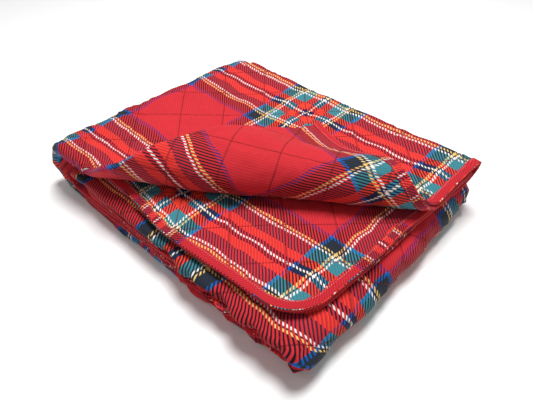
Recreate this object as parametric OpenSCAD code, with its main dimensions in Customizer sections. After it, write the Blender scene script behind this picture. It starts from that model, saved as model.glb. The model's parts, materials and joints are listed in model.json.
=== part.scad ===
// Quilted tartan camp blanket, folded flat for carrying or storing.
// The blanket is folded in half twice along its length (four layers) and then
// in thirds across (twelve layers). The near right corner of the top leaf is
// turned back over the stack.
// +Z up, origin at the middle of the underside. X runs along the long side of
// the folded stack, Y across it, with the front at -Y. All sizes in millimetres.

/* [Folded stack] */
// Length of the folded stack, along X
fold_length = 500; // [440:1:560]
// Width of the folded stack, along Y
fold_width = 392; // [340:1:440]
// Height each quilted layer takes in the stack
ply = 7; // [6.8:0.1:9]

/* [Quilted layer] */
// Thickness of one quilted layer: face cloth, wadding and backing cloth
pad_thick = 5.4; // [4:0.1:5.4]
// Thickness of the woven face cloth and of the backing cloth
cloth_thick = 0.5; // [0.3:0.1:0.8]
// Spacing of the diagonal quilting lines
quilt_pitch = 70; // [50:1:110]
// Width of a line of quilting thread
thread_width = 1; // [0.6:0.1:1.5]

/* [Edge binding] */
// Width of the binding tape on each side of the edge
tape_width = 12; // [8:0.5:16]
// Thickness of the binding tape
tape_thick = 0.5; // [0.3:0.1:0.5]
// Radius of the blanket's rounded outer corners
corner_radius = 55; // [30:1:80]
// Distance of the topstitching from the tape's inner edge
stitch_inset = 2; // [1:0.5:4]

/* [Turned-back corner] */
// Where the turned corner starts on the front edge, from the middle
turn_x = -112; // [-160:1:-60]
// Where the turned corner ends on the right edge, from the middle
turn_y = 54; // [20:1:90]
// Height of the hollow inside the soft roll at the turn
turn_gap = 36; // [28:1:44]
// Length of cloth taken up by the roll
turn_take = 98; // [85:1:110]
// How far the corner slopes down from the roll to the top leaf, in degrees
turn_tilt = 8; // [4:1:9]

/* [Hidden] */
$fn = 64;

FACE_RED = [0.80, 0.12, 0.16];
WADDING_CREAM = [0.93, 0.92, 0.88];
BACKING_RED = [0.70, 0.10, 0.14];
TAPE_RED = [0.66, 0.08, 0.12];
THREAD_RED = [0.55, 0.08, 0.12];
STITCH_BEIGE = [0.86, 0.80, 0.72];

half_pad = pad_thick / 2;
half_bound = half_pad + tape_thick;  // half a layer with tape on both sides
thread_rise = 0.25;                  // how far a thread stands up
stitch_width = 0.8;
stitch_edge = tape_width - tape_thick - stitch_inset;  // stitching from the cloth's edge
joint_gap = 0.1;                     // keeps neighbouring pieces apart
far = 900;                           // reaches past the whole stack

// Layers as [low, high] from the middle of the ply, positive towards the face cloth
FACE = [half_pad - cloth_thick, half_pad];
WADDING = [-half_pad + cloth_thick, half_pad - cloth_thick];
BACKING = [-half_pad, -half_pad + cloth_thick];
PAD = [-half_pad, half_pad];
TAPED = [-half_bound, half_bound];

// Places in the stack
floor_z = -(ply - pad_thick) / 2;    // puts the underside of the lowest layer at z = 0
bound_y = -fold_width / 2 + 1.5;     // bound front edge of the cloth
front_y = -fold_width / 2 + ply;     // centre line of the front crease
back_y = fold_width / 2 - 2 * ply;   // centre line of the two back creases
left_x = -fold_length / 2 + 6 * ply; // centre line of the left crease
right_x = fold_length / 2 - 4 * ply; // centre line of the right crease
top_start = left_x + joint_gap;
top_end = fold_length / 2 - 1;       // bound end of the top third
// The inner third is built mirrored, so its ends are negated
inner_start = -right_x;
inner_end = -left_x - 2;             // bound end, 2 short of the left crease

// Roll at the turned corner: its direction, outer radius and a point on its axis
roll_angle = atan2(turn_y + fold_width / 2, fold_length / 2 - turn_x);
roll_radius = 2 * ply + turn_gap / 2;
roll_point = [
  turn_x - roll_radius * sin(roll_angle),
  -fold_width / 2 + roll_radius * cos(roll_angle),
  12 * ply + floor_z + turn_gap / 2
];
roll_start = -60;                    // ends of the uncut roll, along its axis
roll_end = 520;

// ---- one third: four plies in one ribbon, profile in Y (x) and Z (y) ----

// Plies count down from 1, the highest. The front crease joins 1 and 2;
// 3 and 4 end in bound front edges.
creased_plies = [1, 2];
bound_plies = [3, 4];
function face_up(n) = n == 1 || n == 3;
// Middle height of ply n above the foot of its third
function mid_z(n) = (4.5 - n) * ply;
// Lowest height of a layer in ply n
function low_z(n, layer) = face_up(n) ? mid_z(n) + layer[0] : mid_z(n) - layer[1];
// Foot of a thread on the face side of ply n, at a height from its middle
function thread_z(n, height) = face_up(n) ? mid_z(n) + height : mid_z(n) - height - thread_rise;
function thickness(layer) = layer[1] - layer[0];

// side is 1 for the +x half and -1 for the -x half
module half_ring(inner_r, outer_r, side) {
  intersection() {
    difference() {
      circle(outer_r);
      circle(inner_r);
    }
    translate([side > 0 ? 0 : -far, -far]) square([far, 2 * far]);
  }
}

module bends2d(layer) {
  translate([front_y, 3 * ply]) half_ring(ply / 2 + layer[0], ply / 2 + layer[1], -1);
  translate([back_y, 2 * ply]) half_ring(ply / 2 - layer[1], ply / 2 - layer[0], 1);
  translate([back_y, 2 * ply]) half_ring(1.5 * ply + layer[0], 1.5 * ply + layer[1], 1);
}

// Straight runs of the given plies, from start to the back creases
module runs2d(plies, start, layer) {
  for (n = plies)
    translate([start, low_z(n, layer)]) square([back_y - start, thickness(layer)]);
}

// The creases and the two creased plies
module folded2d(layer) {
  bends2d(layer);
  runs2d(creased_plies, front_y, layer);
}

// All four plies
module ribbon2d(layer) {
  folded2d(layer);
  runs2d(bound_plies, bound_y, layer);
}

// Binding tape folded over the two bound front edges
module tape2d() {
  for (n = bound_plies) difference() {
    translate([bound_y - tape_thick, mid_z(n) - half_bound]) square([tape_width, 2 * half_bound]);
    translate([bound_y, mid_z(n) - half_pad]) square([tape_width, pad_thick]);
  }
}

// Runs a Y-Z profile along X
module along_x(start, end) {
  translate([start, 0, 0]) rotate([90, 0, 90]) linear_extrude(end - start) children();
}

// Plan of a bound ply, set in by inset, rounded at its bound corner
module plan2d(start, end, inset) {
  radius = corner_radius - inset;
  edge_x = end - inset;
  edge_y = bound_y + inset;
  translate([start, edge_y + radius]) square([edge_x - start, back_y - edge_y - radius]);
  translate([start, edge_y]) square([edge_x - radius - start, back_y - edge_y]);
  translate([edge_x - radius, edge_y + radius]) circle(radius);
}

// One layer of a third that has bound edges at its end
module bound_third(start, end, layer) {
  along_x(start, end) folded2d(layer);
  for (n = bound_plies)
    translate([0, 0, low_z(n, layer)]) linear_extrude(thickness(layer)) plan2d(start, end, 0);
}

module bound_third_tape(start, end) {
  difference() {
    along_x(end + tape_thick - tape_width, end + tape_thick) folded2d(TAPED);
    along_x(end - tape_width, end) folded2d(PAD);
  }
  for (n = bound_plies) translate([0, 0, mid_z(n)]) difference() {
    translate([0, 0, -half_bound]) linear_extrude(2 * half_bound) plan2d(start, end, -tape_thick);
    translate([0, 0, -half_pad]) linear_extrude(pad_thick) plan2d(start, end, 0);
    translate([0, 0, -ply]) linear_extrude(2 * ply) plan2d(start, end, tape_width - tape_thick);
  }
}

// Diagonal quilting lines, cut to the rectangle between two corners
module lines2d(x1, x2, y1, y2) {
  intersection() {
    translate([x1, y1]) square([x2 - x1, y2 - y1]);
    union() for (angle = [45, -45], i = [-5:5])
      rotate(angle) translate([-far, (i + 0.5) * quilt_pitch - thread_width / 2])
        square([2 * far, thread_width]);
  }
}

// Quilting on the given plies; end is where the quilted area stops
module third_thread(start, end, plies) {
  for (n = plies)
    translate([0, 0, thread_z(n, half_pad)]) linear_extrude(thread_rise) intersection() {
      lines2d(start, end, n < 3 ? front_y : bound_y + tape_width, back_y);
      if (n < 3) translate([start, front_y]) square([end - start, back_y - front_y]);
      else plan2d(start, end + tape_width, tape_width);
    }
}

module third_stitch(start, end) {
  for (n = creased_plies)
    translate([end - stitch_edge - stitch_width, front_y, thread_z(n, half_bound)])
      cube([stitch_width, back_y - front_y, thread_rise]);
  for (n = bound_plies)
    translate([0, 0, thread_z(n, half_bound)]) linear_extrude(thread_rise) difference() {
      plan2d(start, end, stitch_edge);
      plan2d(start, end, stitch_edge + stitch_width);
    }
}

// ---- placing the thirds ----

module top() { translate([0, 0, 8 * ply + floor_z]) children(); }
module inner() { translate([0, 0, 4 * ply + floor_z]) mirror([1, 0, 0]) children(); }
module base() { translate([0, 0, 4 * ply + floor_z]) mirror([0, 0, 1]) children(); }

// Half turn about an axis along Y of a Y-Z profile, its height becoming
// radius beyond inner_r
module nest(inner_r) {
  rotate([0, -90, 0]) rotate([-90, 0, 0]) rotate_extrude(angle = 180, $fn = 96)
    translate([inner_r, 0]) mirror([1, -1, 0]) children();
}

// Joins the base to the inner third
module right_crease() {
  translate([right_x, 0, 4 * ply + floor_z]) nest(0) children();
}
// Joins the base to the top third, round the inner third
module left_crease() {
  translate([left_x, 0, 6 * ply + floor_z]) mirror([1, 0, 0]) nest(2 * ply) children();
}

// ---- lower two thirds ----

module lower_layer(layer) {
  inner() bound_third(inner_start, inner_end, layer);
  base() along_x(left_x, right_x) ribbon2d(layer);
  right_crease() ribbon2d(layer);
}
module lower_stack_face_cloth() { color(FACE_RED) lower_layer(FACE); }
module lower_stack_wadding() { color(WADDING_CREAM) lower_layer(WADDING); }
module lower_stack_backing_cloth() { color(BACKING_RED) lower_layer(BACKING); }
module lower_stack_edge_binding() {
  color(TAPE_RED) {
    inner() bound_third_tape(inner_start, inner_end);
    base() along_x(left_x, right_x) tape2d();
    right_crease() tape2d();
  }
}
module lower_stack_quilting_thread() {
  color(THREAD_RED) {
    inner() third_thread(inner_start, inner_end - tape_width, [1:4]);
    base() third_thread(left_x, right_x, [2:4]);
  }
}
module lower_stack_binding_stitch() {
  color(STITCH_BEIGE) {
    inner() third_stitch(inner_start, inner_end);
    base() for (n = bound_plies)
      translate([left_x, bound_y + stitch_edge, thread_z(n, half_bound)])
        cube([right_x - left_x, stitch_width, thread_rise]);
  }
}

// ---- crease on the left, joining the top third to the base ----

module back_crease_face_cloth() { color(FACE_RED) left_crease() ribbon2d(FACE); }
module back_crease_wadding() { color(WADDING_CREAM) left_crease() ribbon2d(WADDING); }
module back_crease_backing_cloth() { color(BACKING_RED) left_crease() ribbon2d(BACKING); }
module back_crease_edge_binding() { color(TAPE_RED) left_crease() tape2d(); }

// ---- top third, cut off at the roll ----

// Roll frame: local X along the roll, local -Y towards the flat corner
module roll_frame() { translate(roll_point) rotate([0, 0, roll_angle]) children(); }
// Space of the two upper plies, at least distance beyond the roll's axis
module beyond(distance) {
  roll_frame() translate([-far, -far - distance, -roll_radius])
    cube([2 * far, far, roll_radius + ply]);
}
module trimmed() {
  difference() {
    children();
    beyond(0);
  }
}

module top_layer(layer) { top() bound_third(top_start, top_end, layer); }
module top_tape() { top() bound_third_tape(top_start, top_end); }
module top_thread(plies) { top() third_thread(top_start, top_end - tape_width, plies); }
module top_stitch() { top() third_stitch(top_start, top_end); }

module top_third_face_cloth() { color(FACE_RED) trimmed() top_layer(FACE); }
module top_third_wadding() { color(WADDING_CREAM) trimmed() top_layer(WADDING); }
module top_third_backing_cloth() { color(BACKING_RED) trimmed() top_layer(BACKING); }
module top_third_edge_binding() { color(TAPE_RED) trimmed() top_tape(); }
module top_third_quilting_thread() { color(THREAD_RED) trimmed() top_thread([1:4]); }
module top_third_binding_stitch() { color(STITCH_BEIGE) trimmed() top_stitch(); }

// ---- corner roll ----

// A ring open on the +x side, running turn_tilt past half a turn at the top
module roll_ring(inner_r, outer_r) {
  difference() {
    circle(outer_r);
    circle(inner_r);
    polygon([
      [0, 0], [0, -far], [far, -far],
      [far, far * cos(turn_tilt)],
      far * [sin(turn_tilt), cos(turn_tilt)]
    ]);
  }
}
// One ring for each rolled ply: the lower ply is the outer one
module roll2d(layer) {
  lower_r = roll_radius - ply / 2;
  upper_r = roll_radius - 1.5 * ply;
  roll_ring(lower_r + layer[0], lower_r + layer[1]);
  roll_ring(upper_r - layer[1], upper_r - layer[0]);
}
// The roll, cut off at the front edge and at end on the right
module roll_solid(layer, end) {
  intersection() {
    roll_frame() along_x(roll_start, roll_end) roll2d(layer);
    translate([-far, bound_y, 0]) cube([far + end, far, far]);
  }
}
module corner_roll_face_cloth() { color(FACE_RED) roll_solid(FACE, top_end); }
module corner_roll_wadding() { color(WADDING_CREAM) roll_solid(WADDING, top_end); }
module corner_roll_backing_cloth() { color(BACKING_RED) roll_solid(BACKING, top_end); }
module corner_roll_edge_binding() {
  color(TAPE_RED) difference() {
    roll_solid(TAPED, top_end + tape_thick);
    roll_solid(PAD, top_end);
    translate([-far, -far, 0]) cube([far + top_end + tape_thick - tape_width, 2 * far, far]);
  }
}

// ---- corner flap, turned over beyond the roll ----

module turned() {
  roll_frame() translate([0, joint_gap, 0]) rotate([180 - turn_tilt, 0, 0])
    translate([0, turn_take, 0]) rotate([0, 0, -roll_angle]) translate(-roll_point)
      intersection() {
        children();
        beyond(turn_take);
      }
}
module corner_flap_face_cloth() { color(FACE_RED) turned() top_layer(FACE); }
module corner_flap_wadding() { color(WADDING_CREAM) turned() top_layer(WADDING); }
module corner_flap_backing_cloth() { color(BACKING_RED) turned() top_layer(BACKING); }
module corner_flap_edge_binding() { color(TAPE_RED) turned() top_tape(); }
module corner_flap_quilting_thread() { color(THREAD_RED) turned() top_thread(creased_plies); }
module corner_flap_binding_stitch() { color(STITCH_BEIGE) turned() top_stitch(); }

lower_stack_face_cloth();
lower_stack_wadding();
lower_stack_backing_cloth();
lower_stack_edge_binding();
lower_stack_quilting_thread();
lower_stack_binding_stitch();
back_crease_face_cloth();
back_crease_wadding();
back_crease_backing_cloth();
back_crease_edge_binding();
top_third_face_cloth();
top_third_wadding();
top_third_backing_cloth();
top_third_edge_binding();
top_third_quilting_thread();
top_third_binding_stitch();
corner_roll_face_cloth();
corner_roll_wadding();
corner_roll_backing_cloth();
corner_roll_edge_binding();
corner_flap_face_cloth();
corner_flap_wadding();
corner_flap_backing_cloth();
corner_flap_edge_binding();
corner_flap_quilting_thread();
corner_flap_binding_stitch();
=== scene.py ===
# A quilted tartan blanket, folded into a ribbon of four layers and then into thirds, with
# the front corner of its two upper layers rolled back. It lies on z = 0. x runs from the
# nested fold on the left to the bound end on the right, y from the bound edges at the
# front to the folds at the back. The thirds are stacked base, inner, top.
# Shapes are worked out in millimetres and turned into metres when a mesh is made.
import json
import math
from collections import namedtuple

import bpy
import bmesh
import numpy as np
from mathutils import Matrix, Vector


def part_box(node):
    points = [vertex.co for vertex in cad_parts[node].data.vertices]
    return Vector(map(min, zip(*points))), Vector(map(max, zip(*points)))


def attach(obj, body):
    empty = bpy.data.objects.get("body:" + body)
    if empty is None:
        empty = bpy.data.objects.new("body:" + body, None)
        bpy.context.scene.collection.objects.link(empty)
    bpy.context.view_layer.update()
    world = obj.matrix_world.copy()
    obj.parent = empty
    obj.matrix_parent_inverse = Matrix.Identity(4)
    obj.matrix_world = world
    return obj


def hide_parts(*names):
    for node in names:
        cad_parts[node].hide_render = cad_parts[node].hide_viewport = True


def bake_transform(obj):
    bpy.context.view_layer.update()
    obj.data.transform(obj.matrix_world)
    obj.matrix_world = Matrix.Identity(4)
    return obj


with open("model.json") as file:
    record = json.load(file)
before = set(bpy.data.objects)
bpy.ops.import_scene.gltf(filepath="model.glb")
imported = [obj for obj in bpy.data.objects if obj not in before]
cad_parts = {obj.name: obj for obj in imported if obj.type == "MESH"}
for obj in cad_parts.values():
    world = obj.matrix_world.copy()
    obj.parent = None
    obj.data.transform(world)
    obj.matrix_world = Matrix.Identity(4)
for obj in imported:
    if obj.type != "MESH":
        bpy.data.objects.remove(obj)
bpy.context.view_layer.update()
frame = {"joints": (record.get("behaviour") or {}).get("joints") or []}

# ------------------------------------------------------------------ sizes and places
JOINTS = {joint["name"]: joint for joint in frame["joints"]}
UNFOLD = JOINTS["top_third_unfold"]["pos_m"]
TURNBACK = JOINTS["corner_turnback"]
TOP_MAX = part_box("top_third_face_cloth")[1]
LOWER_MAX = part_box("lower_stack_face_cloth")[1]

BOTTOM_Z = -0.8                                    # foot of the lowest layer
PLY = round((UNFOLD[2] * 1000 - BOTTOM_Z) / 6, 3)  # height of one layer in the stack
THIRD = 4 * PLY                                    # height of one third
INNER_Z = THIRD + BOTTOM_Z                         # foot of the inner third
FOLD_Z = 6 * PLY + BOTTOM_Z                        # centre of the nested left fold
TOP_Z = 2 * THIRD + BOTTOM_Z                       # foot of the top third
LEFT_X = UNFOLD[0] * 1000                          # centre of the nested left fold
END_X = TOP_MAX.x * 1000                           # bound end of the top third
RIGHT_X = LOWER_MAX.x * 1000 - THIRD + 0.8         # centre of the right fold
INNER_END_X = LEFT_X + 2                           # bound end of the inner third
EDGE_Y = -194.5                                    # bound edges at the front
FRONT_Y = -189.0                                   # centre of the front folds
BACK_Y = TOP_MAX.y * 1000 - 3 * PLY + 0.8 + PLY    # centre of the back folds
if abs(BACK_Y - 182) < 3:
    BACK_Y = 182.0
HALF_LAYER = 2.7                                   # half a quilted layer
BIG_FOLD = 1.5 * PLY                               # radius of the open back fold
SMALL_FOLD = 0.5 * PLY                             # radius of the tight folds
CORNER_R = 55.0                                    # rounded corner of the blanket
TAPE = 13.0                                        # visible width of the binding
REPEAT = 281.0                                     # repeat of the tartan
QUILT = 70.0                                       # spacing of the quilting lines
FACE_STEP = 4.0             # mesh step of the face cloth

# Axis of the turned-back corner: a point on it, its direction, and away to the corner.
ROLL_FOOT = np.array([TURNBACK["pos_m"][0] * 1000, TURNBACK["pos_m"][1] * 1000])
ROLL_AXIS = np.array(TURNBACK["axis"][:2], float)
ROLL_AWAY = np.array([ROLL_AXIS[1], -ROLL_AXIS[0]])
ROLL_WIDTH = 88.0                                  # cloth between the foot and the flap
ROLL_CUTS = (0.0, ROLL_WIDTH)
TOP_BODIES = ("top_third", "corner_roll", "corner_flap")

# Runs that end at a bound edge: where each starts and where it ends.
BOUND_RUNS = {"top": (LEFT_X, END_X), "inner": (RIGHT_X, INNER_END_X)}


def smooth(x):
    x = np.clip(x, 0, 1)
    return x * x * (3 - 2 * x)


def roll_coords(x, y):
    """Distance along the roll's axis, and past it towards the corner."""
    x, y = x - ROLL_FOOT[0], y - ROLL_FOOT[1]
    return (x * ROLL_AXIS[0] + y * ROLL_AXIS[1], x * ROLL_AWAY[0] + y * ROLL_AWAY[1])


# ------------------------------------------------------------------ ribbon of four layers
# Lengths at which the ribbon's parts begin: layers are even, the folds between them odd.
BREAKS = np.cumsum([0, BACK_Y - EDGE_Y, math.pi * BIG_FOLD, BACK_Y - FRONT_Y,
                    math.pi * SMALL_FOLD, BACK_Y - FRONT_Y, math.pi * SMALL_FOLD,
                    BACK_Y - EDGE_Y])
GIRTH = BREAKS[-1]
# part, y where it starts, direction in y, height in layers, direction the face looks
LAYERS = ((0, EDGE_Y, 1, 0.5, -1), (2, BACK_Y, -1, 3.5, 1),
          (4, FRONT_Y, 1, 2.5, -1), (6, BACK_Y, -1, 1.5, 1))
# part, centre y, centre height in layers, radius, signs of sine and cosine, face outside
FOLDS = ((1, BACK_Y, 2, BIG_FOLD, 1, -1, 1), (3, FRONT_Y, 3, SMALL_FOLD, -1, 1, 1),
         (5, BACK_Y, 2, SMALL_FOLD, 1, 1, -1))


def ribbon(across, out):
    """Section of one third, at a length across the ribbon's middle and out towards
    the face cloth. Gives y, height above the foot, the part and the length into it."""
    across, out = np.broadcast_arrays(np.asarray(across, float), np.asarray(out, float))
    y, z, out_y, out_z = (np.zeros(across.shape) for _ in range(4))
    part = np.clip(np.searchsorted(BREAKS, across, side="right") - 1, 0, 6)
    into = across - BREAKS[part]
    for number, start, way, layer, face in LAYERS:
        here = part == number
        y[here] = start + way * into[here]
        z[here] = layer * PLY
        out_z[here] = face
    for number, centre, layer, radius, sine, cosine, face in FOLDS:
        here = part == number
        turn = into[here] / radius
        side_y, side_z = sine * np.sin(turn), cosine * np.cos(turn)
        y[here] = centre + radius * side_y
        z[here] = layer * PLY + radius * side_z
        out_y[here], out_z[here] = face * side_y, face * side_z
    return y + out * out_y, z + out * out_z, part, into


def leaf_distance(along, across):
    """Distance past the roll's axis for the two upper layers of the top third,
    and a negative number everywhere else."""
    y, _, part, _ = ribbon(across, 0.0)
    past = roll_coords(along, y)[1]
    return np.where((part >= 2) & (part <= 4), past, np.minimum(past, -30.0))


# ------------------------------------------------------------------ turned-back corner
# A cubic sheet through a net of control points. Rows run along the roll, columns from
# its foot, round the roll and out to the corner.
ROLL_END = 255.0
AXIS_KNOTS = np.array([-40.0] * 4 + [140.0, 320.0] + [500.0] * 4)
AWAY_KNOTS = np.array([0.0] * 4 + [25.0, 50.0, 75.0, 100.0, 150.0] + [ROLL_END] * 4)
# x, y, z of the control points after the two columns at the foot
ROLL_NET = np.array([
    [[-153, -209, 95], [-148, -216, 117], [-149, -213, 145], [-175, -179, 147],
     [-197, -144, 101], [-231, -96, 87], [-252, -71, 105]],
    [[-106, -174, 91], [-98, -184, 114], [-101, -176, 143], [-125, -146, 146],
     [-150, -105, 106], [-183, -63, 93], [-205, -33, 109]],
    [[0, -114, 78], [-2, -110, 107], [-13, -95, 124], [-26, -73, 150],
     [-66, -8, 176], [-91, 14, 124], [-108, 40, 90]],
    [[145, -4, 86], [149, -12, 110], [142, 0, 135], [119, 33, 128],
     [89, 61, 67], [58, 116, 83], [33, 144, 102]],
    [[247, 59, 79], [249, 61, 108], [235, 77, 126], [216, 104, 135],
     [190, 146, 94], [149, 187, 104], [137, 213, 117]],
    [[293, 101, 86], [290, 99, 111], [284, 109, 134], [260, 138, 143],
     [238, 179, 90], [201, 221, 93], [181, 249, 101]],
], float)
ROLL_FOOT_Z = TOP_Z + 2.5 * PLY - HALF_LAYER  # face of the second layer


def roll_control_points():
    """The net with two flat columns at its foot, so it leaves the stack level."""
    at = np.array([AXIS_KNOTS[i + 1:i + 4].mean() for i in range(len(ROLL_NET))])
    foot = np.c_[ROLL_FOOT + at[:, None] * ROLL_AXIS, np.full(len(at), ROLL_FOOT_Z)]
    level = foot + np.append(ROLL_AWAY, 0) * AWAY_KNOTS[4] / 3
    return np.concatenate([foot[:, None], level[:, None], ROLL_NET], 1)


ROLL_CONTROLS = roll_control_points()


def cubic_basis(knots, x):
    """Weights of the control points of a cubic B-spline, one row for each x."""
    x = np.clip(x, knots[0], knots[-1] - 1e-6)
    weights = [((x >= low) & (x < high)).astype(float) for low, high in zip(knots, knots[1:])]
    for order in (1, 2, 3):
        raised = []
        for i in range(len(weights) - 1):
            total = np.zeros_like(x)
            left, right = knots[i + order] - knots[i], knots[i + order + 1] - knots[i + 1]
            if left > 0:
                total = total + (x - knots[i]) / left * weights[i]
            if right > 0:
                total = total + (knots[i + order + 1] - x) / right * weights[i + 1]
            raised.append(total)
        weights = raised
    return np.array(weights).T


def roll_sheet(along, away):
    rows = cubic_basis(AXIS_KNOTS, along.ravel())
    columns = cubic_basis(AWAY_KNOTS, away.ravel())
    points = np.einsum("pi,pj,ijk->pk", rows, columns, ROLL_CONTROLS)
    return points.reshape(along.shape + (3,))


def turn_back(x, y, z):
    """Rolls the flat corner of the two upper layers over the stack."""
    along, past = roll_coords(x, y)
    step = 0.5
    away = np.clip(past, 0, ROLL_END - step)
    slope_along = roll_sheet(along + step, away) - roll_sheet(along - step, away)
    limit = ROLL_END - 0.1
    slope_away = (roll_sheet(along, np.clip(away + step, 0, limit))
                  - roll_sheet(along, np.clip(away - step, 0, limit)))
    normal = np.cross(slope_along, slope_away)
    normal /= np.linalg.norm(normal, axis=-1, keepdims=True) + 1e-12
    rolled = roll_sheet(along, away) - normal * (z - ROLL_FOOT_Z)[..., None]
    return np.where((past <= 0)[..., None], np.stack([x, y, z], -1), rolled)


def roll_heights():
    """Heights at which the roll starts to turn and has turned fully."""
    along = np.linspace(0, 430, 80)
    edge = ROLL_FOOT + along[:, None] * ROLL_AXIS + ROLL_AWAY * ROLL_WIDTH
    layers_z = TOP_Z + 2 * PLY
    turned = turn_back(edge[:, 0], edge[:, 1], np.full(len(along), layers_z - 1.0))
    return layers_z + 3.0, turned[:, 2].min() - 1.0


ROLL_LOW, ROLL_HIGH = roll_heights()

# ------------------------------------------------------------------ placing any point
# How far the open edges of the top third sit back, at stations in x.
OPEN_EDGE_X = [-208, -167, -75, 11, 102, 150, 200, 249]
OPEN_EDGE_BACK = [20, 27, 20, 12, 17, 21, 24, 24]
# Direction in z of the ribbon's top in each flat run.
UPWARD = {"top": 1, "inner": 1, "base": -1}


def from_back(y):
    """0 at the back folds and 1 at the bound front edges."""
    return np.clip((BACK_Y - y) / (BACK_Y - EDGE_Y), 0, 1)


def place(run, along, across, out):
    """Points of the folded blanket. Along is x in the flat runs, and the angle in
    the left and right folds. Across and out are those of the ribbon."""
    along, across, out = np.broadcast_arrays(along, across, out)
    y, rise, part, into = ribbon(across, out)
    middle = ribbon(across, 0.0)[1]
    spring = np.clip(rise / THIRD, 0, 1.1)
    page = smooth((2.2 * PLY - middle) / (0.4 * PLY))  # 1 in the two lower layers
    recess = 5 * (1 - smooth((middle - 0.5 * PLY) / PLY))
    x = along
    if run == "top":
        z = TOP_Z + rise
    elif run == "left":
        # the spring of the padding pushes the nested fold out and squares it
        radius = 2 * PLY + rise
        x = LEFT_X - (radius + 21 * spring ** 1.3) * np.sin(along)
        z = FOLD_Z + radius * np.cos(along)
        square = np.where(along < math.pi / 2, 6.0, -0.9) * np.sin(2 * along) ** 2
        shoulder = 5.0 * np.exp(-((along - 0.4) / 0.45) ** 2) * smooth(along / 0.35)
        z = z + spring * (square + shoulder + 6.0 * (1 - smooth(along / 2.2)))
        fade = page * (1 - smooth(along / 1.6))
        y = y + fade * (OPEN_EDGE_BACK[0] + recess) * smooth(from_back(y))
    elif run == "base":
        z = INNER_Z - rise
    elif run == "right":
        bulge = 9 * np.clip(rise / THIRD, 0, 1.2) ** 2
        x = RIGHT_X + (rise + bulge) * np.sin(along)
        z = INNER_Z + rise * np.cos(along)
    else:
        z = INNER_Z + rise
    # the folds at the back belly out past their layers
    big_turn = into / BIG_FOLD
    y = y + np.where(part == 1, 18.0 * np.sin(np.clip(big_turn, 0, math.pi)), 0)
    y = y + np.where(part == 5, 5.0 * np.sin(np.clip(into / SMALL_FOLD, 0, math.pi)), 0)
    swell = 3.5 * np.where(big_turn > math.pi / 2, 1.0, -0.3) * np.sin(2 * big_turn) ** 2
    z = z + UPWARD.get(run, 0) * np.where(part == 1, swell, 0)
    if run == "top":
        crown = smooth((y - 120) / 75) * (part <= 2) * smooth((rise - 2 * PLY) / PLY)
        z = z + 4.0 * crown + 6.0 * spring * smooth((-130 - x) / (-130 - LEFT_X))
    # the lower layers sit back at the front, most of all on the right
    inset = smooth((-110 - y) / 70) * smooth((46 - z) / 20)
    y = y + inset * (3 + 9 * smooth((x - 60) / 160))
    if run != "top":
        return warp(x, y, z)
    forward = from_back(y)
    share = np.clip((x - LEFT_X) / (END_X - LEFT_X), 0, 1)
    set_back = np.interp(x, OPEN_EDGE_X, OPEN_EDGE_BACK) + recess
    y = y + page * set_back * smooth(forward)
    x = x - page * 22 * share ** 1.5 * forward
    past = roll_coords(x, y)[1]
    lead = smooth((-120 - y) / 70) * (1 - page) * (1 - smooth((past + 30) / 30))
    y = y + 11 * lead * smooth((x + 205) / 60)
    upper = ((part >= 2) & (part <= 4))[..., None]
    points = np.where(upper, turn_back(x, y, z), np.stack([x, y, z], -1))
    return warp(*np.moveaxis(points, -1, 0))


def waves(first, second, *rows):
    """Sum of sine waves. A row is height, length in each direction, phase."""
    return sum(height * np.sin(first / first_length + second / second_length + phase)
               for height, first_length, second_length, phase in rows)


def warp(x, y, z):
    """Slow unevenness of a hand-folded stack. The underside stays flat."""
    dx = waves(y, z, (1.8, 63, 31, 1.1), (0.9, 24, 9, 2))
    dy = waves(x, z, (1.6, 71, 27, 0.4), (1.0, 29, 7, 1))
    dz = 1.3 * np.sin(x / 83 + 0.7) * np.sin(y / 69 + 0.2) + 0.5 * np.sin(x / 31 + y / 43)
    dz = dz * np.clip(z / 84.0, 0, 1)
    # crumpled open edges near the front right corner
    crumple = smooth((58 - z) / 12) * smooth(z / 8) * smooth((-150 - y) / 30)
    crumple = crumple * smooth((x + 40) / 160)
    dy = dy + crumple * waves(x, z, (3.6, 8.5, 4.5, 0), (2.6, 15, -6, 1.3), (1.4, 4.6, 3.0, 0))
    dz = dz + crumple * waves(x, y, (1.6, 11, 13, 0.5), (1.2, 6.5, -9, 0))
    return np.stack([x + dx, y + dy, z + dz], -1)


# ------------------------------------------------------------------ cloth coordinates
CLOTH_X = 19.5          # cloth x less stack x in the top third
CLOTH_Y = 142.0         # stack y less cloth y in the highest layer
BIG_FOLD_CLOTH = 18.5   # cloth in the open back fold, per radian
LEFT_FOLD_CLOTH = 52.0  # cloth in the left fold, per radian
RIGHT_FOLD_CLOTH = 28.0  # cloth in the right fold, per radian
STRETCH_Y = -139.0      # in front of this the top layer's pattern is stretched
STRETCH = 1.27
ROLL_CLOTH_Y = -354.0   # cloth y where stack y is -196 in the layer under the roll
FRONT_GAIN = 28.0       # extra cloth at the front of the inner third
SKEW = 40.0             # drift of cloth y from left to right in the base


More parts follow.
